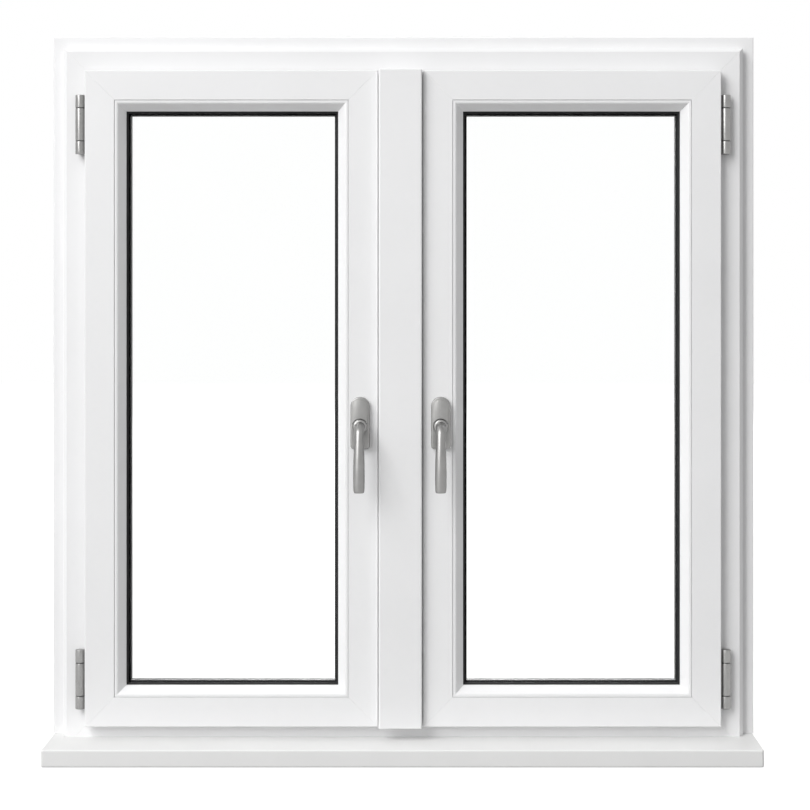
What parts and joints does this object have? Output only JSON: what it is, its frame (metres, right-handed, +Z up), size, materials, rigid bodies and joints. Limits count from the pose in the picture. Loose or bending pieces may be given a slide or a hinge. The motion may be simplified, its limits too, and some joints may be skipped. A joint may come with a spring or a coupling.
{
  "type": "casement window",
  "caption": "White side-hung casement window with inward-opening leaves, lever handles, barrel hinges, a raised centre strip, a renovation flange and a window board",
  "frame": {"origin": "bottom of the base profile, mid-width, in the wall plane behind the renovation flange", "axes": "X right as seen from the room, Y outdoors through the wall, Z up"},
  "size_m": [1.14, 0.154, 1.163],
  "materials": {
    "white_pvc": "satin",
    "white_board": "matte",
    "steel": "zinc plated",
    "black_rubber": "matte",
    "satin_metal": "satin",
    "dark_nylon": "matte",
    "clear_glass": "clear"
  },
  "bodies": {
    "frame": {"frame_left_jamb": "white_pvc", "frame_right_jamb": "white_pvc", "frame_head": "white_pvc", "frame_bottom_rail": "white_pvc", "frame_reinforcements": "steel", "base_profile": "white_pvc", "mullion": "white_pvc", "mullion_cover": "white_pvc", "mullion_cover_caps": "white_pvc", "frame_gaskets": "black_rubber", "window_sill": "white_board", "lock_keeps": "steel", "hinge_frame_knuckles": "satin_metal", "hinge_pins": "steel", "hinge_washers": "dark_nylon"},
    "left_sash": {"left_top_rail": "white_pvc", "left_bottom_rail": "white_pvc", "left_hinge_stile": "white_pvc", "left_lock_stile": "white_pvc", "left_sash_reinforcements": "steel", "left_glazing_beads": "white_pvc", "left_glass_panes": "clear_glass", "left_glass_spacer": "black_rubber", "left_glazing_gaskets": "black_rubber", "left_setting_blocks": "dark_nylon", "left_sash_gasket": "black_rubber", "left_hinge_knuckles": "satin_metal", "left_handle_base": "steel", "left_handle_cover": "satin_metal", "left_handle_screws": "steel", "left_lock_case": "steel"},
    "left_handle": {"left_handle_lever": "satin_metal", "left_handle_spindle": "steel", "left_lock_pinion": "steel"},
    "left_drive": {"left_drive_bar": "steel", "left_lock_cams": "steel"},
    "right_sash": {"right_top_rail": "white_pvc", "right_bottom_rail": "white_pvc", "right_hinge_stile": "white_pvc", "right_lock_stile": "white_pvc", "right_sash_reinforcements": "steel", "right_glazing_beads": "white_pvc", "right_glass_panes": "clear_glass", "right_glass_spacer": "black_rubber", "right_glazing_gaskets": "black_rubber", "right_setting_blocks": "dark_nylon", "right_sash_gasket": "black_rubber", "right_hinge_knuckles": "satin_metal", "right_handle_base": "steel", "right_handle_cover": "satin_metal", "right_handle_screws": "steel", "right_lock_case": "steel"},
    "right_handle": {"right_handle_lever": "satin_metal", "right_handle_spindle": "steel", "right_lock_pinion": "steel"},
    "right_drive": {"right_drive_bar": "steel", "right_lock_cams": "steel"}
  },
  "joints": [
    {"name": "left_sash_swing", "type": "hinge", "parent": "frame", "child": "left_sash", "pos_m": [-0.52, -0.038, 0.57], "axis": [0, 0, -1], "range_deg": [0, 105]},
    {"name": "left_handle_turn", "type": "hinge", "parent": "left_sash", "child": "left_handle", "pos_m": [-0.0687, -0.05, 0.533], "axis": [0, 1, 0], "range_deg": [0, 90]},
    {"name": "left_drive_slide", "type": "slide", "parent": "left_sash", "child": "left_drive", "axis": [0, 0, -1], "range_m": [0, 0.0095]},
    {"name": "right_sash_swing", "type": "hinge", "parent": "frame", "child": "right_sash", "pos_m": [0.52, -0.038, 0.57], "axis": [0, 0, 1], "range_deg": [0, 105]},
    {"name": "right_handle_turn", "type": "hinge", "parent": "right_sash", "child": "right_handle", "pos_m": [0.0607, -0.05, 0.533], "axis": [0, -1, 0], "range_deg": [0, 90]},
    {"name": "right_drive_slide", "type": "slide", "parent": "right_sash", "child": "right_drive", "axis": [0, 0, -1], "range_m": [0, 0.0095]}
  ],
  "couplings": [
    {"joint": "left_drive_slide", "follows": "left_handle_turn", "m_per_rad": 0.006},
    {"joint": "right_drive_slide", "follows": "right_handle_turn", "m_per_rad": 0.006}
  ]
}
